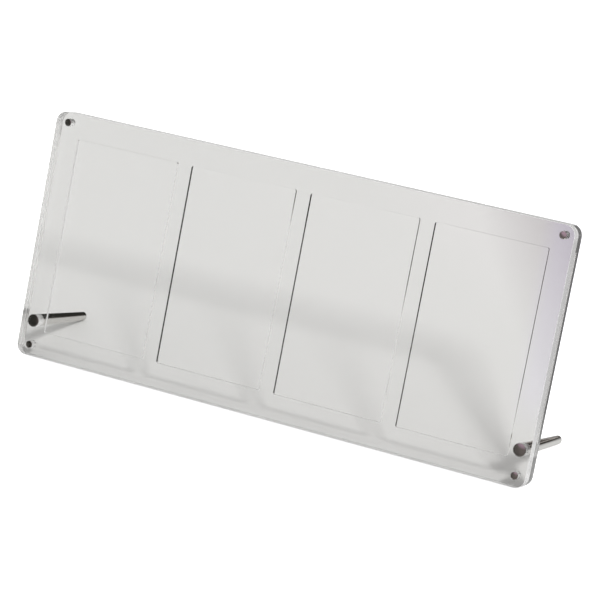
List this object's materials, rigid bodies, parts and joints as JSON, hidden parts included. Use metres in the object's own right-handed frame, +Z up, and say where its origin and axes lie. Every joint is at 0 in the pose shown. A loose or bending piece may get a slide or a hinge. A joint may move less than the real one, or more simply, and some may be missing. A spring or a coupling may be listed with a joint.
{
  "type": "photo album stand",
  "caption": "Clear acrylic photo stand: flat plates joined by corner magnets hold a row of picture pockets, and tapered metal legs keep the block leaning back.",
  "frame": {"origin": "on the floor, under the centre of the standing object's bounding box", "axes": "+X to the viewer's right along the row of windows, +Y from the front of the stand to the back, +Z up"},
  "size_m": [0.2636, 0.055, 0.1145],
  "materials": {
    "acrylic": "clear cast acrylic, polished faces and edges",
    "magnet": "bright nickel plate",
    "leg": "polished steel, turned"
  },
  "bodies": {
    "back_block": {"back_plate": "acrylic", "back_magnet_top_left": "magnet", "back_magnet_top_right": "magnet", "back_magnet_bottom_left": "magnet", "back_magnet_bottom_right": "magnet"},
    "front_cover": {"front_plate": "acrylic", "front_magnet_top_left": "magnet", "front_magnet_top_right": "magnet", "front_magnet_bottom_left": "magnet", "front_magnet_bottom_right": "magnet"},
    "left_leg": {"left_leg": "leg"},
    "right_leg": {"right_leg": "leg"}
  },
  "joints": [
    {"name": "cover_slide", "type": "slide", "parent": "back_block", "child": "front_cover", "axis": [0, -0.9449, 0.3273], "range_m": [0, 0.03]},
    {"name": "left_leg_slide", "type": "slide", "parent": "back_block", "child": "left_leg", "axis": [0, 0.9449, -0.3273], "range_m": [0, 0.02]},
    {"name": "right_leg_slide", "type": "slide", "parent": "back_block", "child": "right_leg", "axis": [0, 0.9449, -0.3273], "range_m": [0, 0.02]}
  ]
}
